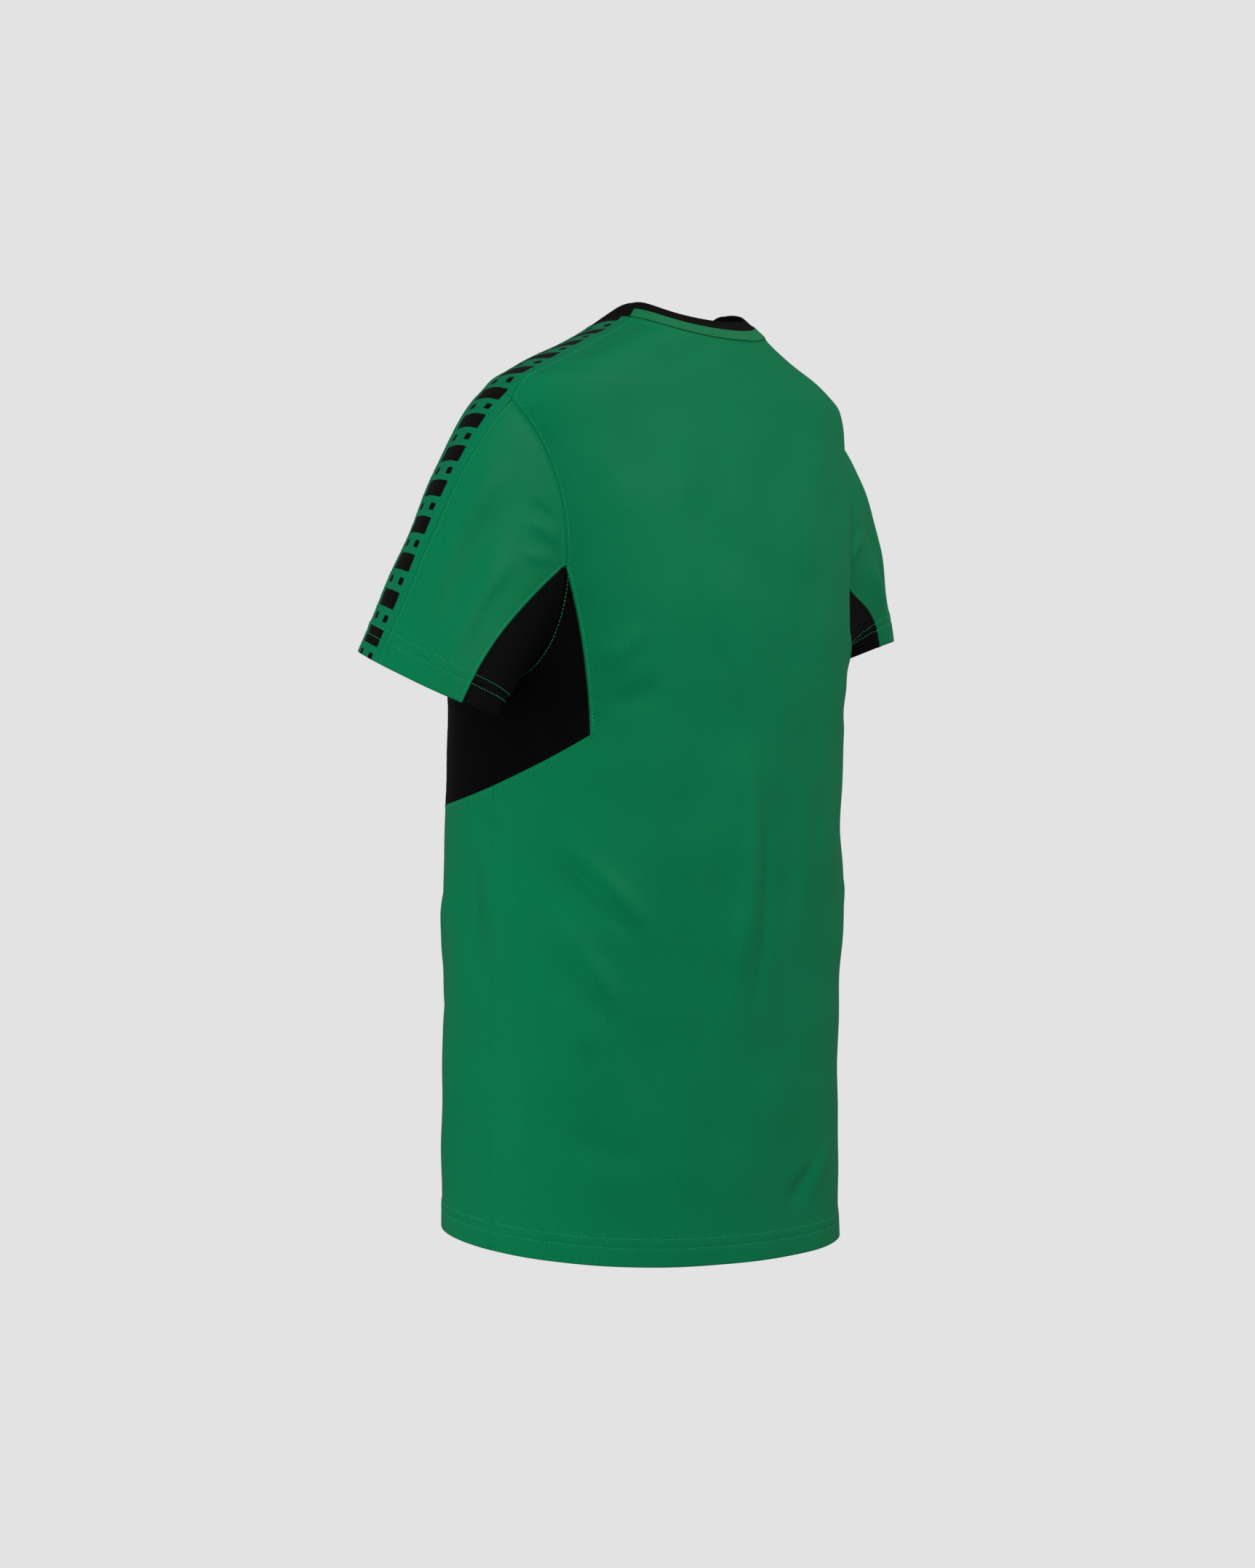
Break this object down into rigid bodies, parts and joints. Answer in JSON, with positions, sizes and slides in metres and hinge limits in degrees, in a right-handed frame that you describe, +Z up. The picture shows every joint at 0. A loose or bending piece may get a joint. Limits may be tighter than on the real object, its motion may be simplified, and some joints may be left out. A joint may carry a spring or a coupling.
{
  "type": "football jersey",
  "caption": "Short-sleeved football jersey in green knit with black side panels, black rib collar and patterned shoulder tapes, hollow and filled out as it is worn.",
  "frame": {"origin": "midway between the two shoulder-neck points, where the wearer's shoulders carry the jersey", "axes": "+Z up towards the collar, -Y towards the front, +X towards the wearer's left"},
  "size_m": [0.6827, 0.2479, 0.7411],
  "materials": {
    "green_knit": "matt green polyester mesh knit with a soft sheen",
    "black_knit": "matt black polyester knit",
    "shoulder_tape": "smooth close-knit green tape with a black printed pattern",
    "neck_tape": "light green woven tape",
    "black_rib": "matt black ribbed knit"
  },
  "bodies": {
    "root": {"back_panel": "green_knit", "front_panel": "green_knit", "side_panel_left": "black_knit", "side_panel_right": "black_knit", "sleeve_back_left": "green_knit", "sleeve_gusset_left": "black_knit", "sleeve_front_left": "green_knit", "shoulder_tape_left": "shoulder_tape", "sleeve_back_right": "green_knit", "sleeve_gusset_right": "black_knit", "sleeve_front_right": "green_knit", "shoulder_tape_right": "shoulder_tape", "collar_band": "black_rib", "neck_tape": "neck_tape"}
  },
  "joints": []
}
